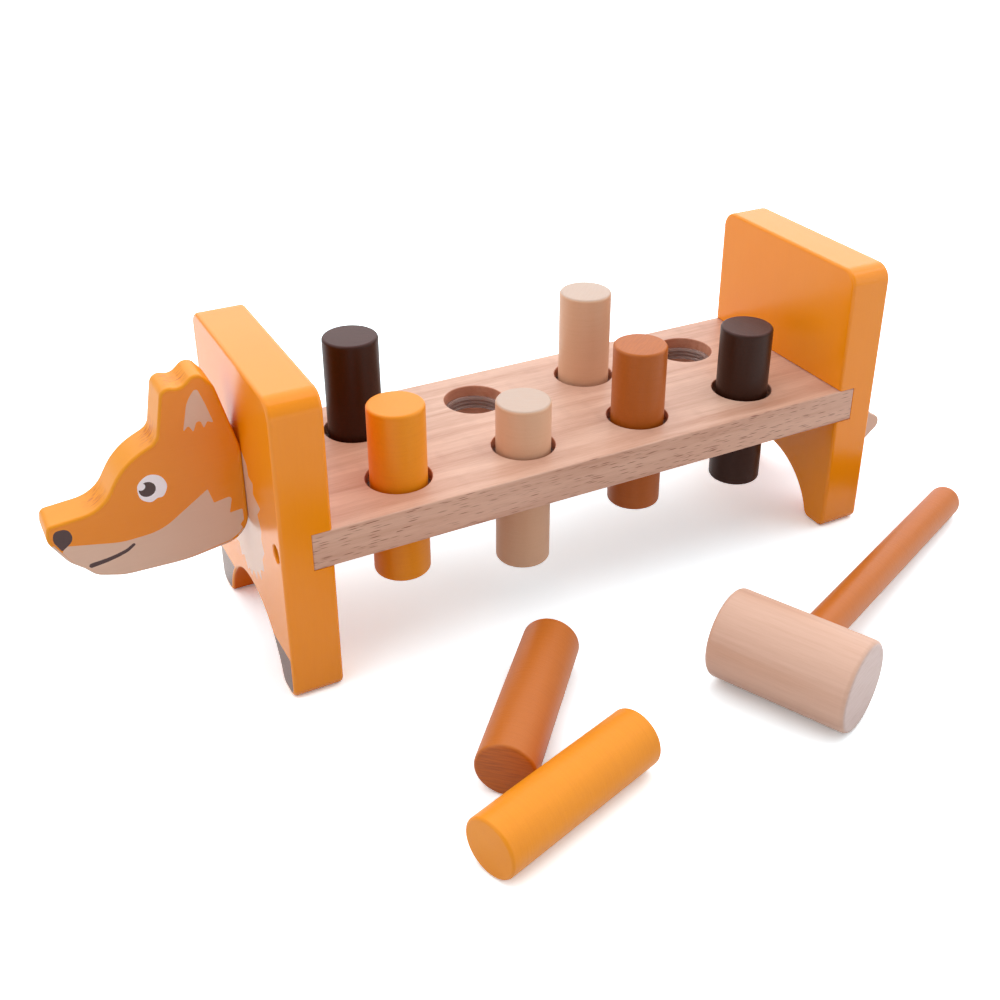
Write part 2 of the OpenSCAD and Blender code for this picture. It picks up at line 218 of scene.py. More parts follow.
# A turned surface: a profile (radius, height) carried round the axis. A rod's profile starts and ends on it,
# a ring's profile is closed
def turned(profile, columns=96, ring=False):
    profile = np.asarray(profile, float)
    angle = np.linspace(0, 2 * math.pi, columns, endpoint=False)
    body = profile if ring else profile[1:-1]
    grid = np.empty((len(body), columns, 3))
    grid[:, :, 0] = body[:, :1] * np.cos(angle)
    grid[:, :, 1] = body[:, :1] * np.sin(angle)
    grid[:, :, 2] = body[:, 1:]
    faces = gridFaces(len(body), columns, ring=ring)
    points = grid.reshape(-1, 3)
    if not ring:
        around = np.arange(columns)
        ahead = np.roll(around, -1)
        last = (len(body) - 1) * columns
        points = np.concatenate([points, [[0, 0, profile[0, 1]], [0, 0, profile[-1, 1]]]])
        faces += np.stack([ahead, around, np.full(columns, len(points) - 2)], 1).tolist()
        faces += np.stack([last + around, last + ahead, np.full(columns, len(points) - 1)], 1).tolist()
    return points, faces


# Profile of a rod from its start to its end, with a quarter round of its own at each end
def rodProfile(start, end, radius, startEdge, endEdge, edgeSteps=7):
    quarter = np.linspace(0, math.pi / 2, edgeSteps + 1)
    across, along = np.sin(quarter), 1 - np.cos(quarter)
    low = np.stack([radius - startEdge + startEdge * across, start + startEdge * along], 1)
    high = np.stack([radius - endEdge + endEdge * across, end - endEdge * along], 1)[::-1]
    startRing, endRing = (low[0, 0] * 0.6, start), (high[-1, 0] * 0.6, end)    # on the flat of each end
    return np.concatenate([[(0, start), startRing], low, high, [endRing, (0, end)]])


# Pieces

def newMesh(name, points, faces, paints=None):     # points in millimetres from the bench's middle
    mesh = bpy.data.meshes.new(name)
    mesh.from_pydata((np.asarray(points) * mm + benchMiddle).tolist(), [], faces)
    if paints is not None:
        mesh.polygons.foreach_set("material_index", paints)
    made = bmesh.new()
    made.from_mesh(mesh)
    bmesh.ops.recalc_face_normals(made, faces=made.faces)
    made.to_mesh(mesh)
    made.free()
    return mesh


# Paints the faces below a plane that the test picks; the plane splits the faces that it meets
def paintPart(mesh, place, upward, paint, test):
    made = bmesh.new()
    made.from_mesh(mesh)
    place = Vector((np.array(place) * mm + benchMiddle).tolist())
    upward = Vector(upward).normalized()
    split = made.verts[:] + made.edges[:] + made.faces[:]
    bmesh.ops.bisect_plane(made, geom=split, plane_co=place, plane_no=upward, dist=1e-7)
    for face in made.faces:
        if test(face) and (face.calc_center_median() - place).dot(upward) < 0:
            face.material_index = paint
    made.to_mesh(mesh)
    made.free()


def newObject(name, mesh):
    piece = bpy.data.objects.new(name, mesh)
    bpy.context.scene.collection.objects.link(piece)
    return piece


def newPiece(name, points, faces, paints=None):
    return newObject(name, newMesh(name, points, faces, paints))


cutterReach = 5.0                                  # how far a cutter stands out of the face that it opens


def carve(piece, cutters):                         # cuts each cutter's shape out of the piece's mesh
    tools = [newObject("cutter", mesh) for mesh in cutters]
    for tool in tools:
        cut = piece.modifiers.new("cut", "BOOLEAN")
        cut.operation, cut.solver, cut.object = "DIFFERENCE", "EXACT", tool
    view = bpy.context.evaluated_depsgraph_get()
    whole, carved = piece.data, bpy.data.meshes.new_from_object(piece.evaluated_get(view))
    piece.modifiers.clear()
    piece.data = carved
    bpy.data.meshes.remove(whole)
    for tool in tools:
        bpy.data.meshes.remove(tool.data)


# Each point's place along the wood, in millimetres: across, across, along the grain. The finishes read it
def setGrain(piece, origin, along, across):
    along, across = unit(np.asarray(along, float)), unit(np.asarray(across, float))
    axes = np.stack([across, np.cross(along, across), along], 1)
    count = len(piece.data.vertices)
    places = np.empty(count * 3)
    piece.data.vertices.foreach_get("co", places)
    local = (fromBench(places.reshape(-1, 3)) - np.asarray(origin, float)) @ axes
    grain = piece.data.attributes.new("grain", "FLOAT_VECTOR", "POINT")
    grain.data.foreach_set("vector", local.astype(np.float32).ravel())


def finishPiece(piece, node, body, materials, sharpAngle=40):
    for material in materials:
        piece.data.materials.append(material)
    piece.data.polygons.foreach_set("use_smooth", [True] * len(piece.data.polygons))
    piece.data.set_sharp_from_angle(angle=math.radians(sharpAngle))
    even = piece.modifiers.new("even normals", "WEIGHTED_NORMAL")
    even.keep_sharp, even.weight = True, 100
    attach(piece, body)
    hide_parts(node)


# Finishes

def linear(red, green, blue):                      # a colour as it shows, 0 to 255, as light
    share = np.array([red, green, blue]) / 255
    light = np.where(share < 0.04045, share / 12.92, ((share + 0.055) / 1.055) ** 2.4)
    return (*light.tolist(), 1.0)


def addNode(tree, kind, inputs, **settings):
    node = tree.nodes.new("ShaderNode" + kind)
    for key, value in settings.items():
        setattr(node, key, value)
    for key, value in inputs.items():
        if isinstance(value, bpy.types.NodeSocket):
            tree.links.new(value, node.inputs[key])
        else:
            node.inputs[key].default_value = value
    return node


def newFinish(name):
    material = bpy.data.materials.new(name)
    material.use_nodes = True
    tree = material.node_tree
    return material, tree, tree.nodes["Principled BSDF"]


def grainPlace(tree, scale):                       # places along the wood, stretched by scale
    grain = addNode(tree, "Attribute", {}, attribute_name="grain")
    return addNode(tree, "Mapping", {"Vector": grain.outputs["Vector"], "Scale": scale}).outputs["Vector"]


def noise(tree, vector, scale, detail=3.0, rough=0.55):
    made = addNode(tree, "TexNoise", {"Vector": vector, "Scale": scale, "Detail": detail, "Roughness": rough})
    return made.outputs["Fac"]


def remap(tree, value, fromLow, fromHigh, toLow=0.0, toHigh=1.0):
    settings = {"Value": value, "From Min": fromLow, "From Max": fromHigh, "To Min": toLow, "To Max": toHigh}
    return addNode(tree, "MapRange", settings).outputs["Result"]


def mixColour(tree, share, first, second):
    return addNode(tree, "MixRGB", {"Fac": share, "Color1": first, "Color2": second}).outputs["Color"]


def vectorMath(tree, operation, first, second):
    return addNode(tree, "VectorMath", {0: first, 1: second}, operation=operation).outputs


def combine(tree, operation, first, second):
    made = addNode(tree, "Math", {}, operation=operation)
    for socket, value in zip(made.inputs, (first, second)):
        if isinstance(value, bpy.types.NodeSocket):
            tree.links.new(value, socket)
        else:
            socket.default_value = value
    return made.outputs["Value"]


def grainPart(tree, part):                         # one part of the place along the wood, without its sign
    grain = addNode(tree, "Attribute", {}, attribute_name="grain")
    parts = addNode(tree, "SeparateXYZ", {"Vector": grain.outputs["Vector"]})
    return combine(tree, "ABSOLUTE", parts.outputs[part], 0.0)


# The end grain takes its own colour with lines across it, and comes in over the last millimetre of the piece
def colourEnds(tree, colour, look):
    share = remap(tree, grainPart(tree, "Z"), look["endReach"] - 0.7, look["endReach"] - 0.1)
    lines = noise(tree, grainPlace(tree, (1, 0.08, 0)), 1.1, 3.0)
    ends = mixColour(tree, remap(tree, lines, 0.42, 0.66), linear(*look["ends"]), linear(*look["endShade"]))
    return mixColour(tree, share, colour, ends)


# Thin paint in the hollows of the head's sawn edge: strokes that run along the edge near each given place
def addStreaks(tree, colour, look):
    strokes = noise(tree, grainPlace(tree, (1, 0.15, 0.15)), 1.5, 2.0)
    outline = grainPlace(tree, (0, 1, 1))
    amount = 0.0
    for out, up in look["streakPlaces"]:
        distance = vectorMath(tree, "DISTANCE", outline, (0, up - boardHeight / 2, -out))["Value"]
        amount = combine(tree, "MAXIMUM", remap(tree, distance, 2, 7, 1, 0), amount)
    amount = combine(tree, "MULTIPLY", amount, remap(tree, strokes, 0.5, 0.64, 0, 0.8))
    amount = combine(tree, "MULTIPLY", amount, remap(tree, grainPart(tree, "X"), 4, 7.5, 1, 0))
    return mixColour(tree, amount, colour, linear(*look["streak"]))


# Paint over wood: fine lines, slow patches and speckle turn the colour to its shade a little, and the lines
# stand out of the surface
def paintedWood(name, texture, colour, shade, **more):
    look = {**texture, **more}
    material, tree, shader = newFinish(name)
    lines = noise(tree, grainPlace(tree, look["lineScale"]), look["lines"], 4.0, 0.6)
    patches = noise(tree, grainPlace(tree, (1, 1, 0.4)), look["patches"], 2.0)
    speckle = noise(tree, grainPlace(tree, (1, 1, 1)), look["speckle"], 2.0)
    share = combine(tree, "MULTIPLY", remap(tree, lines, 0.38, 0.68), look["lineShare"])
    share = combine(tree, "ADD", share, remap(tree, patches, 0.35, 0.7, 0, look["patchShare"]))
    share = combine(tree, "ADD", share, remap(tree, speckle, 0.5, 0.75, 0, look["speckleShare"]))
    base = linear(*colour)
    if "ends" in look:
        base = colourEnds(tree, base, look)
    shown = mixColour(tree, share, base, linear(*shade))
    if "streak" in look:
        shown = addStreaks(tree, shown, look)
    tree.links.new(shown, shader.inputs["Base Color"])
    rough = remap(tree, patches, 0.3, 0.7, look["roughness"] - 0.015, look["roughness"] + 0.015)
    tree.links.new(rough, shader.inputs["Roughness"])
    height = combine(tree, "ADD", lines, combine(tree, "MULTIPLY", speckle, look["speckleHeight"]))
    bump = addNode(tree, "Bump", {"Height": height, "Strength": look["bump"], "Distance": 0.0003})
    tree.links.new(bump.outputs["Normal"], shader.inputs["Normal"])
    shader.inputs["IOR"].default_value = 1.5
    shader.inputs["Specular IOR Level"].default_value = look["shine"]
    return material


paintTexture = {
    "lineScale": (1, 1, 0.06), "lines": 1.3, "lineShare": 0.1,
    "patches": 0.045, "patchShare": 0.12,
    "speckle": 2.2, "speckleShare": 0.05, "speckleHeight": 0.6,
    "bump": 0.03, "roughness": 0.22, "shine": 0.42,
}
orangePaint = paintedWood("orange paint", paintTexture, (249, 148, 4), (236, 128, 2))
# The head's faces take a darker copy of the orange: painted shade for the head, which stands in the shade of
# the front board
headShadedPaint = paintedWood("orange head paint", paintTexture, (241, 142, 6), (226, 120, 3))
facePaint = paintedWood("cream face paint", paintTexture, (226, 190, 168), (214, 172, 148))
linePaint = paintedWood("dark line paint", paintTexture, (68, 37, 36), (56, 31, 29))
whitePaint = paintedWood("white eye paint", paintTexture, (250, 246, 255), (242, 238, 248))

# Sawn edges are rougher under their paint
sawnTexture = {**paintTexture, "roughness": 0.42, "shine": 0.35, "bump": 0.1, "speckleShare": 0.14}
rimPaint = paintedWood("orange rim paint", sawnTexture, (240, 152, 14), (224, 130, 6), streak=(196, 86, 10),
                       streakPlaces=[(57.7, 89), (33.5, 112.5), (21.4, 133)])
# The arch's wall: a less glossy orange for its rougher sawn paint, and a darker colour that is painted shade
# under the arch
archShadePaint = paintedWood("orange arch paint", sawnTexture, (236, 112, 2), (222, 96, 2), shine=0.15)

# A peg's lines run round it, as the lathe leaves them
pegTexture = {**paintTexture, "lineScale": (0.05, 0.05, 1), "lineShare": 0.18, "speckleShare": 0.22,
              "bump": 0.22, "roughness": 0.4, "shine": 0.36, "endReach": pegLength / 2}
yellowPaint = paintedWood("yellow paint", pegTexture, (240, 148, 12), (222, 126, 5))
creamPaint = paintedWood("cream paint", pegTexture, (222, 178, 146), (208, 162, 128),
                         ends=(200, 178, 164), endShade=(197, 174, 160))
# The standing rust peg takes a darker copy of the rust on its sides: painted shade among the other pegs; its
# ends keep the brighter rust
shadedRustPaint = paintedWood("rust paint", pegTexture, (176, 90, 16), (153, 75, 8),
                        ends=(188, 98, 12), endShade=(176, 90, 10))
brownPaint = paintedWood("brown paint", pegTexture, (54, 26, 15), (40, 18, 10), shine=0.2,
                         ends=(76, 42, 38), endShade=(68, 37, 33))
brightRust = (197, 107, 24), (176, 90, 13)
handlePaint = paintedWood("handle paint", pegTexture, *brightRust, shine=0.42)
looseRustPaint = paintedWood("loose rust paint", pegTexture, *brightRust, shine=0.42,
                             ends=(188, 97, 12), endShade=(164, 82, 8))


# Bare wood: growth rings of uneven width round a far-off pith, swaying streaks, fine fibres and slow patches
def bareWood(name, look):
    material, tree, shader = newFinish(name)
    wavy = noise(tree, grainPlace(tree, (1, 1, 0.1)), look["waves"], 2.0)
    sway = addNode(tree, "CombineXYZ", {"X": combine(tree, "MULTIPLY", wavy, look["sway"])}).outputs["Vector"]
    bent = vectorMath(tree, "ADD", grainPlace(tree, (1, 1, 0.05)), sway)["Vector"]
    fromPith = vectorMath(tree, "DISTANCE", grainPlace(tree, (1, 1, 0)), look["pith"])["Value"]
    depth = combine(tree, "ADD", fromPith, combine(tree, "MULTIPLY", wavy, look["waviness"]))
    ringNoise = {"W": depth, "Scale": 1 / look["ringWidth"], "Detail": 4.0, "Roughness": 0.6}
    rings = addNode(tree, "TexNoise", ringNoise, noise_dimensions="1D").outputs["Fac"]
    streaks = noise(tree, bent, look["streaks"], 3.0, 0.6)
    fibres = noise(tree, grainPlace(tree, (1, 1, 0.05)), look["fibres"], 5.0, 0.65)
    patches = noise(tree, grainPlace(tree, (1, 1, 0.2)), 0.05, 2.0)
    share = combine(tree, "MULTIPLY", remap(tree, rings, 0.35, 0.68), look["ringShare"])
    share = combine(tree, "ADD", share, remap(tree, streaks, 0.42, 0.66, 0, look["streakShare"]))
    share = combine(tree, "ADD", share, remap(tree, fibres, 0.4, 0.66, 0, look["fibreShare"]))
    share = combine(tree, "ADD", share, remap(tree, patches, 0.35, 0.7, 0, look["patchShare"]))
    colour = mixColour(tree, share, linear(*look["colour"]), linear(*look["shade"]))
    if "fleck" in look:
        colour = addFlecks(tree, colour, look)
    if "ends" in look:
        colour = colourEnds(tree, colour, look)
    tree.links.new(colour, shader.inputs["Base Color"])
    rough = remap(tree, fibres, 0.3, 0.7, look["roughness"] - 0.05, look["roughness"] + 0.05)
    tree.links.new(rough, shader.inputs["Roughness"])
    bump = addNode(tree, "Bump", {"Height": fibres, "Strength": 0.12, "Distance": 0.0003})
    tree.links.new(bump.outputs["Normal"], shader.inputs["Normal"])
    return material


# Short dark rays: stretched cells, some of them chosen, in rows. They are strong on the plank's sides
# and faint on its broad faces
def addFlecks(tree, colour, look):
    cells = addNode(tree, "TexVoronoi", {"Vector": grainPlace(tree, look["fleckScale"]), "Scale": 1.0})
    near = remap(tree, cells.outputs["Distance"], 0.16, 0.4, 1, 0)
    chosen = addNode(tree, "SeparateColor", {"Color": cells.outputs["Color"]}).outputs["Red"]
    rows = noise(tree, grainPlace(tree, (0.1, 1, 0.04)), 0.35, 2.0)
    amount = combine(tree, "MULTIPLY", near, remap(tree, chosen, 0.15, 0.6))
    amount = combine(tree, "MULTIPLY", amount, remap(tree, rows, 0.35, 0.6, 0.4, 1))
    edge = boardWidth / 2
    side = remap(tree, grainPart(tree, "X"), edge - 0.6, edge - 0.1, look["broadShare"], 1)
    amount = combine(tree, "MULTIPLY", combine(tree, "MULTIPLY", amount, side), look["fleckShare"])
    amount = combine(tree, "ADD", amount, combine(tree, "MULTIPLY", side, look["sideShare"]))
    return mixColour(tree, amount, colour, linear(*look["fleck"]))


beechTexture = {
    "colour": (228, 188, 166), "shade": (192, 142, 118), "patchShare": 0.15, "roughness": 0.45,
    "pith": (-160.0, -40.0, 0.0), "waves": 0.05, "waviness": 16.0, "ringWidth": 10.0, "ringShare": 0.4,
    "sway": 14.0, "streaks": 0.3, "streakShare": 0.3, "fibres": 2.4, "fibreShare": 0.25,
}
beechFlecks = {"fleck": (122, 62, 44), "fleckShare": 0.9, "fleckScale": (0.06, 1.7, 0.13),
               "broadShare": 0.1, "sideShare": 0.06}
beech = bareWood("beech", {**beechTexture, **beechFlecks})
# Darker beech for the hole walls: partly the raw drilled wood, partly painted shade down in the holes
drilledBeechShade = bareWood("drilled beech", {**beechTexture, "colour": (216, 158, 130), "shade": (184, 118, 92)})
paleWood = bareWood("pale mallet wood", {
    "colour": (222, 182, 160), "shade": (198, 152, 128), "patchShare": 0.25, "roughness": 0.38,
    "pith": (26.0, -14.0, 0.0), "waves": 0.06, "waviness": 9.0, "ringWidth": 6.0, "ringShare": 0.32,
    "sway": 12.0, "streaks": 0.4, "streakShare": 0.16, "fibres": 2.0, "fibreShare": 0.16,
    "ends": (203, 178, 172), "endShade": (194, 166, 158), "endReach": 31.5,    # half the head's length
})


def clearPlastic():                                # moulded clear plastic with faint flow marks
    material, tree, shader = newFinish("clear plastic")
    marks = noise(tree, grainPlace(tree, (1, 1, 3)), 0.5, 2.0)
    tree.links.new(remap(tree, marks, 0.3, 0.7, 0.16, 0.26), shader.inputs["Roughness"])
    shader.inputs["Base Color"].default_value = linear(204, 174, 164)
    shader.inputs["Transmission Weight"].default_value = 0.6
    shader.inputs["IOR"].default_value = 1.35
    return material


def zincSteel():                                   # zinc on steel: fine patches of brighter and duller metal
    material, tree, shader = newFinish("zinc steel")
    place = addNode(tree, "TexCoord", {}).outputs["Object"]
    scratches = noise(tree, place, 2600.0, 3.0)
    colour = mixColour(tree, scratches, linear(178, 180, 184), linear(204, 205, 208))
    tree.links.new(colour, shader.inputs["Base Color"])
    tree.links.new(remap(tree, scratches, 0.3, 0.7, 0.28, 0.42), shader.inputs["Roughness"])
    shader.inputs["Metallic"].default_value = 1.0
    return material


def dowelWood():                                   # plain birch, lines along the dowels
    material, tree, shader = newFinish("dowel wood")
    place = addNode(tree, "TexCoord", {}).outputs["Object"]
    lines = addNode(tree, "Mapping", {"Vector": place, "Scale": (60, 1400, 1400)}).outputs["Vector"]
    grain = noise(tree, lines, 1.0, 4.0)
    colour = mixColour(tree, grain, linear(228, 204, 172), linear(200, 168, 130))
    tree.links.new(colour, shader.inputs["Base Color"])
    tree.links.new(remap(tree, grain, 0.3, 0.7, 0.5, 0.65), shader.inputs["Roughness"])
    return material


print("finishes made")

# Fox head: sawn outline and painted face. Places are (out from the board, up from the floor, radius)
foxHead = {
    "corners": [(0, 100.5, 20), (0, 58.3, 12), (27, 54, 60), (53, 54.6, 25), (63.6, 57.9, 8),
                (67.7, 62.5, 5), (73, 67, 14), (80, 78.6, 8), (79, 85.4, 2.8), (57.7, 87.2, 15),
                (47.3, 105.1, 28), (33, 111.8, 6), (28.8, 135, 4), (21.4, 132.3, 4.5),
                (14.1, 138.8, 4.2), (7.9, 130.6, 10)],
    "edge": 1.2, "jawInset": 1.25, "jawCorners": (2, 7),
    "cheek": [(74.8, 72.6, 0.3), (73.4, 75.2, 1), (52, 70.6, 30), (36, 71.4, 22), (15.6, 85.3, 0.4),
              (13.7, 78.2, 0.5), (5.9, 79.6, 1.4), (7.7, 71.6, 0.4), (2.3, 72.2, 0.6), (2.2, 66.8, 0.3),
              (3.8, 64.8, 0.3), (3.1, 63, 0.3), (4.6, 61, 2), (8.5, 58.5, 5)],
    "nose": [(76.7, 83, 2.2), (71.2, 83, 3.4), (69.6, 77.2, 4), (74.8, 73.3, 0.6), (77.6, 78.7, 5)],
    "mouth": [(64.9, 63.5), (57.7, 64.4), (51.2, 66.1), (47.7, 68.2)],
    "mouthWidths": (2.1, 1.3),
    "eye": [(42.9, 90.2), (42.5, 94.9), (38.2, 98), (33.5, 96.4), (31.4, 91.7), (33.2, 87.3), (35.8, 86.8),
            (38.4, 85.7), (41.5, 87.3)],
    "pupil": ((39.2, 91.8), 3.35),
    "gleam": ((41.4, 93.5), 1.6),
    "earPatch": [(15.1, 132, 1.2), (19.4, 126.4, 14), (22.3, 113.2, 0.3), (20, 116, 0.7),
                 (18.2, 112.5, 0.3), (15.7, 119.4, 1.2), (13.9, 113.2, 0.3), (12.3, 116, 0.6),
                 (9.9, 114.8, 0.3), (12.3, 123.7, 12)],
}


def makeFoxHead():
    look = foxHead
    low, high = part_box("fox_head")
    thickness = (high.y - low.y) / mm
    first, last = look["jawCorners"]               # the cheek is drawn, the jaw follows the outline
    jaw = insetCorners(look["corners"], look["jawInset"])[first:last] + look["cheek"]
    prints = [
        (roundedOutline(jaw)[0], 1),
        (roundedOutline(look["nose"])[0], 2),
        (brushStroke(look["mouth"], *look["mouthWidths"]), 2),
        (smoothLine(look["eye"], True), 3),
        (circleLine(*look["pupil"]), 2),
        (circleLine(*look["gleam"]), 3),
        (roundedOutline(look["earPatch"])[0], 1),
    ]
    board, faces, paints = sawnBoard(look["corners"], thickness, look["edge"], prints,
                                     bothFaces=True, rimPaint=4)
    points = np.stack([-boardX - board[:, 0], board[:, 2] - thickness / 2, board[:, 1]], 1)
    piece = newPiece("fox_head_painted", points, faces, paints)
    setGrain(piece, (-boardX, 0, boardHeight / 2), (1, 0, 0), (0, 1, 0))
    finishes = [headShadedPaint, facePaint, linePaint, whitePaint, rimPaint]
    finishPiece(piece, "fox_head", "bench", finishes)


# Fox tail: only its tip shows beyond the rear board in the view from the front
foxTail = {
    "corners": [(0, 90, 6), (17, 86, 20), (37, 58, 40), (42.2, 32, 8), (54.3, 24.8, 4.8),
                (39.5, 12.7, 12), (26, 9, 16), (10, 27, 20), (0, 50, 10)],
    "edge": 0.8,
    "tip": [(39.4, 41, 0.3), (37, 35, 1), (34, 41, 0.5), (32.4, 31.6, 1), (27.6, 36, 0.5),
            (27.2, 26.4, 1), (20.6, 28.6, 0.5), (22.4, 20.6, 1), (16.6, 20.6, 0.3), (26.3, 10, 15),
            (39.2, 13.5, 11.2), (53, 24.8, 4), (41.4, 31.5, 8.8)],
    "tipLine": [(40.3, 40), (15.4, 20.4)],
}


def makeFoxTail():
    look = foxTail
    low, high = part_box("fox_tail")
    thickness = (high.y - low.y) / mm
    prints = [(roundedOutline(look["tip"])[0], 1)]
    board, faces, paints = sawnBoard(look["corners"], thickness, look["edge"], prints, bothFaces=True)
    points = np.stack([boardX + board[:, 0], board[:, 2] - thickness / 2, board[:, 1]], 1)
    piece = newPiece("fox_tail_painted", points, faces, paints)
    (startOut, startUp), (endOut, endUp) = look["tipLine"]
    across = (endUp - startUp, 0, startOut - endOut)
    paintPart(piece.data, (boardX + startOut, 0, startUp), across, 1, lambda face: abs(face.normal.y) < 0.999)
    setGrain(piece, (boardX, 0, boardHeight / 2), (0.3, 0, 1), (0, 1, 0))
    finishPiece(piece, "fox_tail", "bench", [orangePaint, facePaint])


# End boards: round top corners, an arch between the feet, a housing for the plank, deep screw holes
endBoards = {
    "topRadius": 8, "footRadius": 4.5, "archRadius": 37, "archCrown": 29.6, "edge": 1.6,
    "housingGap": 0.1, "housingLip": 0.9,
    "screwInset": 6.5, "screwHoleRadius": 3.8, "screwHoleDepth": 6, "screwHoleLip": 0.5,
    "sockTop": 19.6,
    "bib": [(0, 103, 3), (13.6, 95.6, 2), (14.7, 90.2, 0.8), (20.2, 89.6, 0.4), (18.9, 84, 0.8),
            (27.6, 81.6, 0.4), (22.3, 76, 1), (25.7, 70, 0.5), (24.1, 65, 1), (26.7, 59.6, 0.5),
            (22.7, 54, 1), (23.7, 48.6, 0.5), (17.6, 46, 1), (18.5, 40.8, 0.5), (12.6, 42.5, 1),
            (10.8, 36.6, 0.5), (6.5, 39.5, 1), (2.8, 33.8, 0.5), (0, 36.5, 1)],
}


def boardCorners(look):                            # the arch is one corner; its arc meets those of the feet
    side = boardWidth / 2
    archMiddle = look["archCrown"] - look["archRadius"]
    lean = math.asin((look["footRadius"] - archMiddle) / (look["archRadius"] + look["footRadius"]))
    archTop = archMiddle + look["archRadius"] / math.sin(lean)
    half = [(side, boardHeight, look["topRadius"]), (side, 0, look["footRadius"]),
            (archTop * math.tan(lean), 0, look["footRadius"]), (0, archTop, look["archRadius"])]
    return mirrored(half)


# The housing's cutter: a cross section that opens in a quarter round at the board's inner face, carried along
# the width
def housingCutter(look, inner, sign):
    half = plankThickness / 2 + look["housingGap"]
    lip = look["housingLip"]
    quarter = np.linspace(0, math.pi / 2, 7)
    rise = half + lip * (1 - np.cos(quarter))
    run = inner + sign * (lip - lip * np.sin(quarter))
    outside = inner - sign * cutterReach
    section = [[(sign * plankLength / 2, half)], np.stack([run, rise], 1), [(outside, half + lip)]]
    section = np.concatenate(section)
    section = np.concatenate([section, section[::-1] * (1, -1)])
    widths = (boardWidth / 2 + cutterReach) * np.array([-1, 1])
    points = np.array([[(x, y, plankHeight + z) for x, z in section] for y in widths]).reshape(-1, 3)
    count = len(section)
    faces = gridFaces(2, count) + [list(range(count)), list(range(2 * count - 1, count - 1, -1))]
    return newMesh("housing", points, faces)


def screwHoleCutter(look, sign, y):                # a turned plug, its mouth a small cone at the outer face
    radius, deep, lip = look["screwHoleRadius"], look["screwHoleDepth"], look["screwHoleLip"]
    wide, out = radius + lip, -cutterReach
    profile = [(0, out), (wide, out), (wide, 0), (radius, lip), (radius, deep), (0, deep)]
    plug, faces = turned(profile, 48)
    points = np.stack([sign * (boardX - plug[:, 2]), y + plug[:, 0], plankHeight + plug[:, 1]], 1)
    return newMesh("screw hole", points, faces)


# The faces that take the arch's darker orange, painted shade under the arch
def inArchShade(face):                                  # a face of the arch's wall, away from the board's sides
    fromMiddle = abs(fromBench(face.calc_center_median())[1])
    return abs(face.normal.x) < 0.5 and fromMiddle < boardWidth / 2 - endBoards["topRadius"]


def makeEndBoard(node, sign, prints, socks):       # sign -1 is the front board, +1 the rear one
    look = endBoards
    board, faces, paints = sawnBoard(boardCorners(look), boardThickness, look["edge"], prints)
    points = np.stack([sign * (boardX - board[:, 2]), board[:, 0], board[:, 1]], 1)
    piece = newPiece(node + "_painted", points, faces, paints)
    if socks:
        paintPart(piece.data, (0, 0, look["sockTop"]), (0, 0, 1), 2,
                  lambda face: face.normal.x * sign > 0.999)
    # the arch's wall below its crown gets the arch paint, whose darker colour is painted shade
    paintPart(piece.data, (0, 0, look["archCrown"] + 1), (0, 0, 1), 3, inArchShade)
    inner = sign * (boardX - boardThickness)
    screwY = boardWidth / 2 - look["screwInset"]
    screwHoles = [screwHoleCutter(look, sign, y) for y in (-screwY, screwY)]
    carve(piece, [housingCutter(look, inner, sign)] + screwHoles)
    setGrain(piece, (sign * boardX, 0, 0), (0, 0, 1), (1, 0, 0))
    finishPiece(piece, node, "bench", [orangePaint, facePaint, linePaint, archShadePaint])


# Plank: rounded edges, eight holes that open in a small round at both faces, with a groove for each grip ring
plank = {"edge": 0.7, "pitch": 60.5, "rows": 49.5, "holeRadius": 14.4, "holeLip": 0.5, "columns": 4,
         "grooveRadius": 16.1, "grooveHeight": 6.2}


def holePlaces():
    columns = (np.arange(plank["columns"]) - (plank["columns"] - 1) / 2) * plank["pitch"]
    return [(x, row * plank["rows"] / 2) for row in (-1, 1) for x in columns]


def holeCutter(x, y):
    look = plank
    radius, lip = look["holeRadius"], look["holeLip"]
    half, groove = plankThickness / 2, look["grooveHeight"] / 2
    above = half + cutterReach
    quarter = np.linspace(0, math.pi / 2, 6)
    mouth = np.stack([radius + lip * (1 - np.cos(quarter)), half - lip * (1 - np.sin(quarter))], 1)
    upper = [(look["grooveRadius"], groove), (radius, groove), *mouth, (radius + lip, above), (0, above)]
    lower = [(r, -h) for r, h in reversed(upper)]
    cutter, faces = turned(lower + upper)
    return newMesh("hole", cutter + np.array([x, y, plankHeight]), faces)


def makePlank():
    look = plank
    x, y, edge = plankLength / 2, boardWidth / 2, look["edge"]
    corners = [(-x, -y, edge), (x, -y, edge), (x, y, edge), (-x, y, edge)]
    board, faces, paints = sawnBoard(corners, plankThickness, edge * 0.98)    # just inside the corners' arcs
    points = board + np.array([0, 0, plankHeight - plankThickness / 2])
    piece = newPiece("bench_plank_planed", points, faces, paints)
    carve(piece, [holeCutter(*place) for place in holePlaces()])
    # the hole walls take the darker beech, partly the drilled wood's own colour and partly painted shade
    # inside the holes
    for face in piece.data.polygons:               # the drilled walls are darker than the planed faces
        near = min(math.dist(fromBench(face.center)[:2], place) for place in holePlaces())
        if near < look["grooveRadius"] and abs(face.normal.z) < 0.9:
            face.material_index = 1
    setGrain(piece, (0, 0, plankHeight), (1, 0, 0), (0, 1, 0))
    finishPiece(piece, "bench_plank", "bench", [beech, drilledBeechShade])


# Grip rings: clear plastic, three ribs round the inside with rounded crests
gripRing = {"ribs": 3, "ribPitch": 1.9, "ribDepth": 0.5, "gripRadius": 12.55, "edge": 0.25}


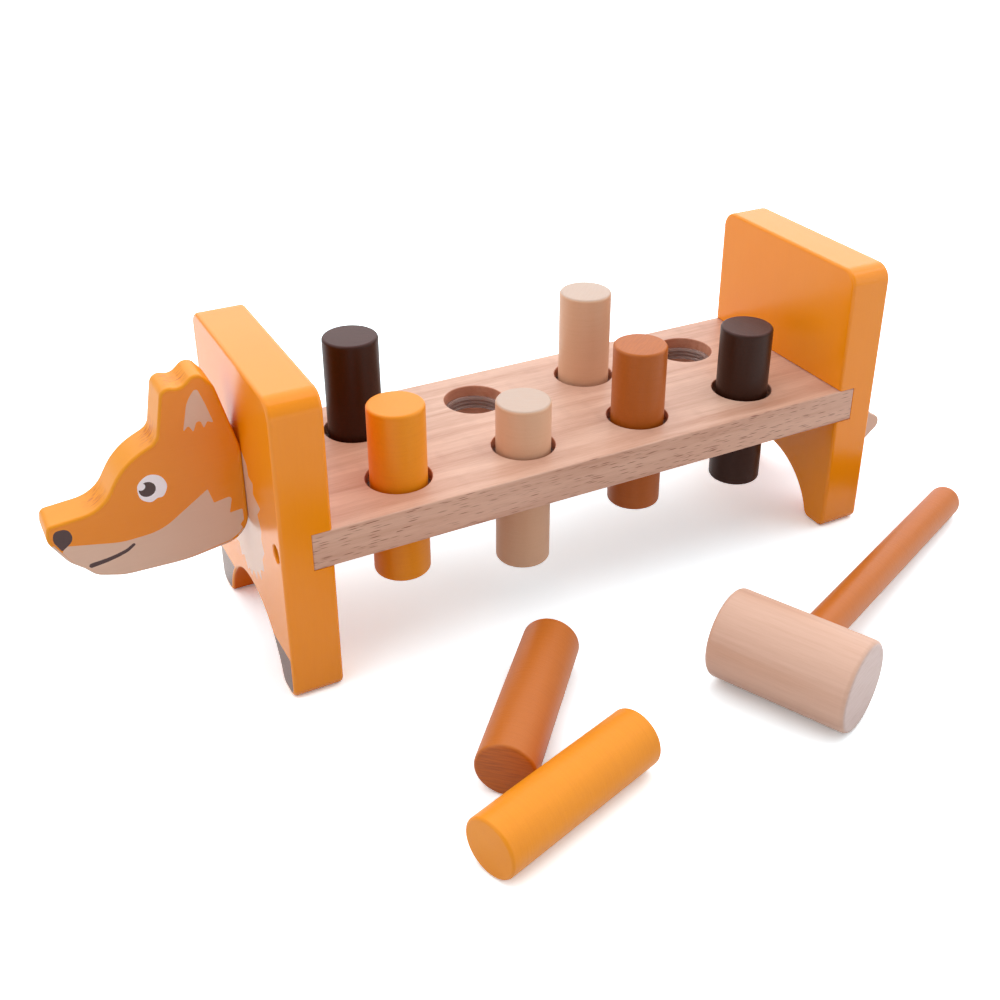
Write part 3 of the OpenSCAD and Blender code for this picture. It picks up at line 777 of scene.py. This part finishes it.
# The inner wall from the bottom up, as a cosine over each rib, then the outside
def ringProfile(outerRadius, height):
    look = gripRing
    wall = look["gripRadius"] + look["ribDepth"]
    rise = np.linspace(-height / 2 + look["edge"], height / 2 - look["edge"], 61)
    middle = look["ribPitch"] * (look["ribs"] - 1) / 2
    fromRib = np.abs((rise + middle + look["ribPitch"] / 2) % look["ribPitch"] - look["ribPitch"] / 2)
    fromRib = np.where(np.abs(rise) > middle + look["ribPitch"] / 2, look["ribPitch"] / 2, fromRib)
    crest = (1 + np.cos(2 * math.pi * fromRib / look["ribPitch"])) / 2
    inside = np.stack([wall - look["ribDepth"] * crest, rise], 1)
    top, out = height / 2, outerRadius
    outside = [(wall + look["edge"], top), (out - look["edge"], top), (out, top - look["edge"]),
               (out, look["edge"] - top), (out - look["edge"], -top), (wall + look["edge"], -top)]
    return np.concatenate([inside, outside])


def makeRing(node):
    low, high = (fromBench(corner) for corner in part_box(node))
    middle = (low + high) / 2
    points, faces = turned(ringProfile((high[0] - low[0]) / 2, high[2] - low[2]), 72, ring=True)
    piece = newPiece(node + "_moulded", points + middle, faces)
    setGrain(piece, middle, (0, 0, 1), (1, 0, 0))
    finishPiece(piece, node, "bench", [plasticFinish], 60)


# Pegs: turned rods with rounded ends, standing in the bench or lying on the floor
pegs = {"radius": (pegHigh.x - pegLow.x) / 2 / mm, "edge": 1.3, "grainTurn": 1.1,
        "yellowTurn": 17.3, "rustTurn": 48.1}
standingPegs = ["yellow_peg_front_1", "cream_peg_front_2", "rust_peg_front_3", "brown_peg_front_4",
                "brown_peg_back_1", "cream_peg_back_3"]
standingPaint = {"yellow": yellowPaint, "cream": creamPaint, "rust": shadedRustPaint, "brown": brownPaint}
loosePegs = {"yellow_peg_loose": ("loose_yellow_peg", "yellow_paint", yellowPaint, pegs["yellowTurn"]),
             "rust_peg_loose": ("loose_rust_peg", "rust_paint", looseRustPaint, pegs["rustTurn"])}


# A rod along the direction "along", with its middle at the middle of the node's box
def makePeg(node, body, paint, along, across):
    look = pegs
    low, high = (fromBench(corner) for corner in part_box(node))
    middle = (low + high) / 2
    along, across = np.array(along), np.array(across)
    axes = np.stack([across, np.cross(along, across), along])
    rod, faces = turned(rodProfile(-pegLength / 2, pegLength / 2, look["radius"], look["edge"], look["edge"]))
    piece = newPiece(node + "_turned", rod @ axes + middle, faces)
    setGrain(piece, middle, along, across)
    finishPiece(piece, node, body, [paint])


def makePegs():
    for place, node in enumerate(standingPegs):
        colour, body = node.split("_", 1)          # a peg's name is its colour and its body
        angle = pegs["grainTurn"] * place           # each peg's grain is turned differently
        across = (math.cos(angle), math.sin(angle), 0)
        makePeg(node, body, standingPaint[colour], (0, 0, 1), across)
    for node, (body, slotName, paint, turn) in loosePegs.items():
        angle = math.radians(turn)
        makePeg(node, body, paint, (math.cos(angle), math.sin(angle), 0), (0, 0, 1))


# Mallet: a turned head lying on the floor, a painted handle sloping down from its blind socket
mallet = {
    "radius": 20, "length": 63, "edge": 2.3, "turn": 25.1, "slope": 3.834, "socketGap": 0.05,
    "handleRadius": 8, "handleStart": -10, "handleReach": 186, "handleStartEdge": 0.5, "handleEdge": 6.5,
}


def makeMallet():
    look = mallet
    low, high = (fromBench(corner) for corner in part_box("mallet_head"))
    middle = np.array([*((low + high) / 2)[:2], look["radius"]])
    turn, slope = math.radians(look["turn"]), math.radians(look["slope"])
    level = np.array([math.cos(turn), math.sin(turn), 0])
    handleAxis = level * math.cos(slope) - np.array([0, 0, math.sin(slope)])
    headAxis = np.array([-math.sin(turn), math.cos(turn), 0])
    upward = np.cross(handleAxis, headAxis)
    headAxes = np.stack([upward, handleAxis, headAxis])
    handleAxes = np.stack([headAxis, upward, handleAxis])
    half, gap = look["length"] / 2, look["socketGap"]
    rod, faces = turned(rodProfile(-half, half, look["radius"], look["edge"], look["edge"]), 144)
    head = newPiece("mallet_head_turned", rod @ headAxes + middle, faces)
    start, wide = look["handleStart"] - gap, look["handleRadius"] + gap
    outside = look["radius"] + cutterReach
    plug, faces = turned([(0, start), (wide, start), (wide, outside), (0, outside)])
    carve(head, [newMesh("socket", plug @ handleAxes + middle, faces)])
    setGrain(head, middle, headAxis, upward)
    finishPiece(head, "mallet_head", "mallet", [paleWood])
    profile = rodProfile(look["handleStart"], look["handleReach"], look["handleRadius"],
                         look["handleStartEdge"], look["handleEdge"], 12)
    rod, faces = turned(profile)
    handle = newPiece("mallet_handle_turned", rod @ handleAxes + middle, faces)
    setGrain(handle, middle, handleAxis, upward)
    finishPiece(handle, "mallet_handle", "mallet", [handlePaint])


def dressNode(node, material):                     # a CAD node that stays as it is, with a finish of its own
    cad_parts[node].data.materials.clear()
    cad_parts[node].data.materials.append(material)


makeFoxHead()
makeFoxTail()
print("head and tail made")
makeEndBoard("front_end_board", -1, [(roundedOutline(mirrored(endBoards["bib"]))[0], 1)], True)
makeEndBoard("rear_end_board", 1, [], False)
makePlank()
print("bench made")
plasticFinish = clearPlastic()
for row in ("front", "back"):
    for column in range(1, plank["columns"] + 1):
        makeRing(f"grip_ring_{row}_{column}")
makePegs()
makeMallet()
print("rings, pegs and mallet made")
steel, birch = zincSteel(), dowelWood()
for end in ("front", "rear"):
    dressNode(f"{end}_board_screws", steel)
for end in ("head", "tail"):
    dressNode(f"{end}_dowels", birch)

# Floor, light and camera
studio = {
    "floorSize": 8.0, "floorTone": 0.5, "floorMirrored": 1.15, "floorSeen": (1.44, 1.6, 1.68),
    "floorLift": 0.04, "zenith": 0.32, "horizon": 0.65, "skyMirrored": 0.68,
    "front": (-0.48, -0.87, 0), "frontDim": 0.5,
}
lamps = {
    "key": {"level": 0.81, "angle": 105, "source": (0.25, 0.55, 1.0)},
    "left": {"level": 0.21, "angle": 60, "source": (-1.0, -0.1, 0.6)},
    "right": {"level": 0.23, "angle": 60, "source": (1.0, -0.6, 0.5)},
}


def makeFloor():                                   # a pale floor that keeps shadows and shows bright
    size = studio["floorSize"] / 2
    mesh = bpy.data.meshes.new("floor")
    corners = [(-size, -size, 0), (size, -size, 0), (size, size, 0), (-size, size, 0)]
    mesh.from_pydata(corners, [], [(0, 1, 2, 3)])
    floor = newObject("floor", mesh)
    material, tree, shader = newFinish("floor")
    shader.inputs["Roughness"].default_value = 0.9
    shader.inputs["Specular IOR Level"].default_value = 0.1
    shader.inputs["Emission Color"].default_value = (1, 1, 1, 1)
    seen = seenDirectly(tree)
    tone = remap(tree, seen, 0, 1, studio["floorTone"], studio["floorMirrored"])
    byCamera = addNode(tree, "LightPath", {}).outputs["Is Camera Ray"]
    tree.links.new(mixColour(tree, byCamera, tone, (*studio["floorSeen"], 1)), shader.inputs["Base Color"])
    tree.links.new(combine(tree, "MULTIPLY", seen, studio["floorLift"]), shader.inputs["Emission Strength"])
    mesh.materials.append(material)


def seenDirectly(tree):                            # 1 for camera, glossy and transmission rays
    path = addNode(tree, "LightPath", {})
    seen = combine(tree, "MAXIMUM", path.outputs["Is Camera Ray"], path.outputs["Is Glossy Ray"])
    return combine(tree, "MAXIMUM", seen, path.outputs["Is Transmission Ray"])


# A sky that is brighter towards the horizon, less so at its front, and three broad lamps
def makeLight():
    world = bpy.data.worlds.new("studio")
    bpy.context.scene.world = world
    world.use_nodes = True
    tree = world.node_tree
    direction = addNode(tree, "TexCoord", {}).outputs["Generated"]
    height = addNode(tree, "SeparateXYZ", {"Vector": direction}).outputs["Z"]
    glow = combine(tree, "POWER", remap(tree, height, 0, 1, 1, 0), 2.0)
    toFront = vectorMath(tree, "DOT_PRODUCT", direction, studio["front"])["Value"]
    glow = combine(tree, "MULTIPLY", glow, remap(tree, toFront, 0, 1, 1, 1 - studio["frontDim"]))
    lit = combine(tree, "ADD", combine(tree, "MULTIPLY", glow, studio["horizon"]), studio["zenith"])
    seen = seenDirectly(tree)
    lit = combine(tree, "MULTIPLY", lit, combine(tree, "SUBTRACT", 1.0, seen))
    skyShine = combine(tree, "MULTIPLY", seen, studio["skyMirrored"])
    byCamera = addNode(tree, "LightPath", {}).outputs["Is Camera Ray"]
    strength = combine(tree, "ADD", lit, combine(tree, "MAXIMUM", skyShine, byCamera))
    tree.links.new(strength, tree.nodes["Background"].inputs["Strength"])
    tree.nodes["Background"].inputs["Color"].default_value = (1, 1, 1, 1)
    for name, look in lamps.items():
        light = bpy.data.lights.new(name, "SUN")
        light.energy, light.angle = look["level"] * math.pi, math.radians(look["angle"])
        lamp = newObject(name, light)
        lamp.rotation_euler = Vector(look["source"]).to_track_quat("Z", "Y").to_euler()


# The camera: place from the bench's middle, and where its line of sight meets the picture
cameraView = {"place": (-267.30, -461.58, 356.66), "heading": 29.04, "tilt": 27.99, "roll": 0.624,
              "focalPixels": 1271.5, "sightPixel": (534.3, 416.5), "picture": 1000, "sensor": 36.0}


def makeCamera():
    look = cameraView
    heading, tilt, roll = (math.radians(look[key]) for key in ("heading", "tilt", "roll"))
    ahead = Vector((math.sin(heading), math.cos(heading), 0))
    forward = ahead * math.cos(tilt) - Vector((0, 0, math.sin(tilt)))
    level = Vector((math.cos(heading), -math.sin(heading), 0))
    right = level * math.cos(roll) + level.cross(forward) * math.sin(roll)
    camera = bpy.data.cameras.new("camera")
    camera.sensor_width, camera.lens = look["sensor"], look["sensor"] * look["focalPixels"] / look["picture"]
    camera.shift_x = 0.5 - look["sightPixel"][0] / look["picture"]
    camera.shift_y = look["sightPixel"][1] / look["picture"] - 0.5
    camera.clip_start = 0.01
    viewer = bpy.data.objects.new("camera", camera)
    viewer.matrix_world = Matrix((right, right.cross(forward), -forward)).transposed().to_4x4()
    viewer.location = np.array(look["place"]) * mm + benchMiddle
    bpy.context.scene.collection.objects.link(viewer)
    bpy.context.scene.camera = viewer


makeFloor()
makeLight()
makeCamera()
bpy.context.scene.view_settings.view_transform = "Standard"
print("studio made")
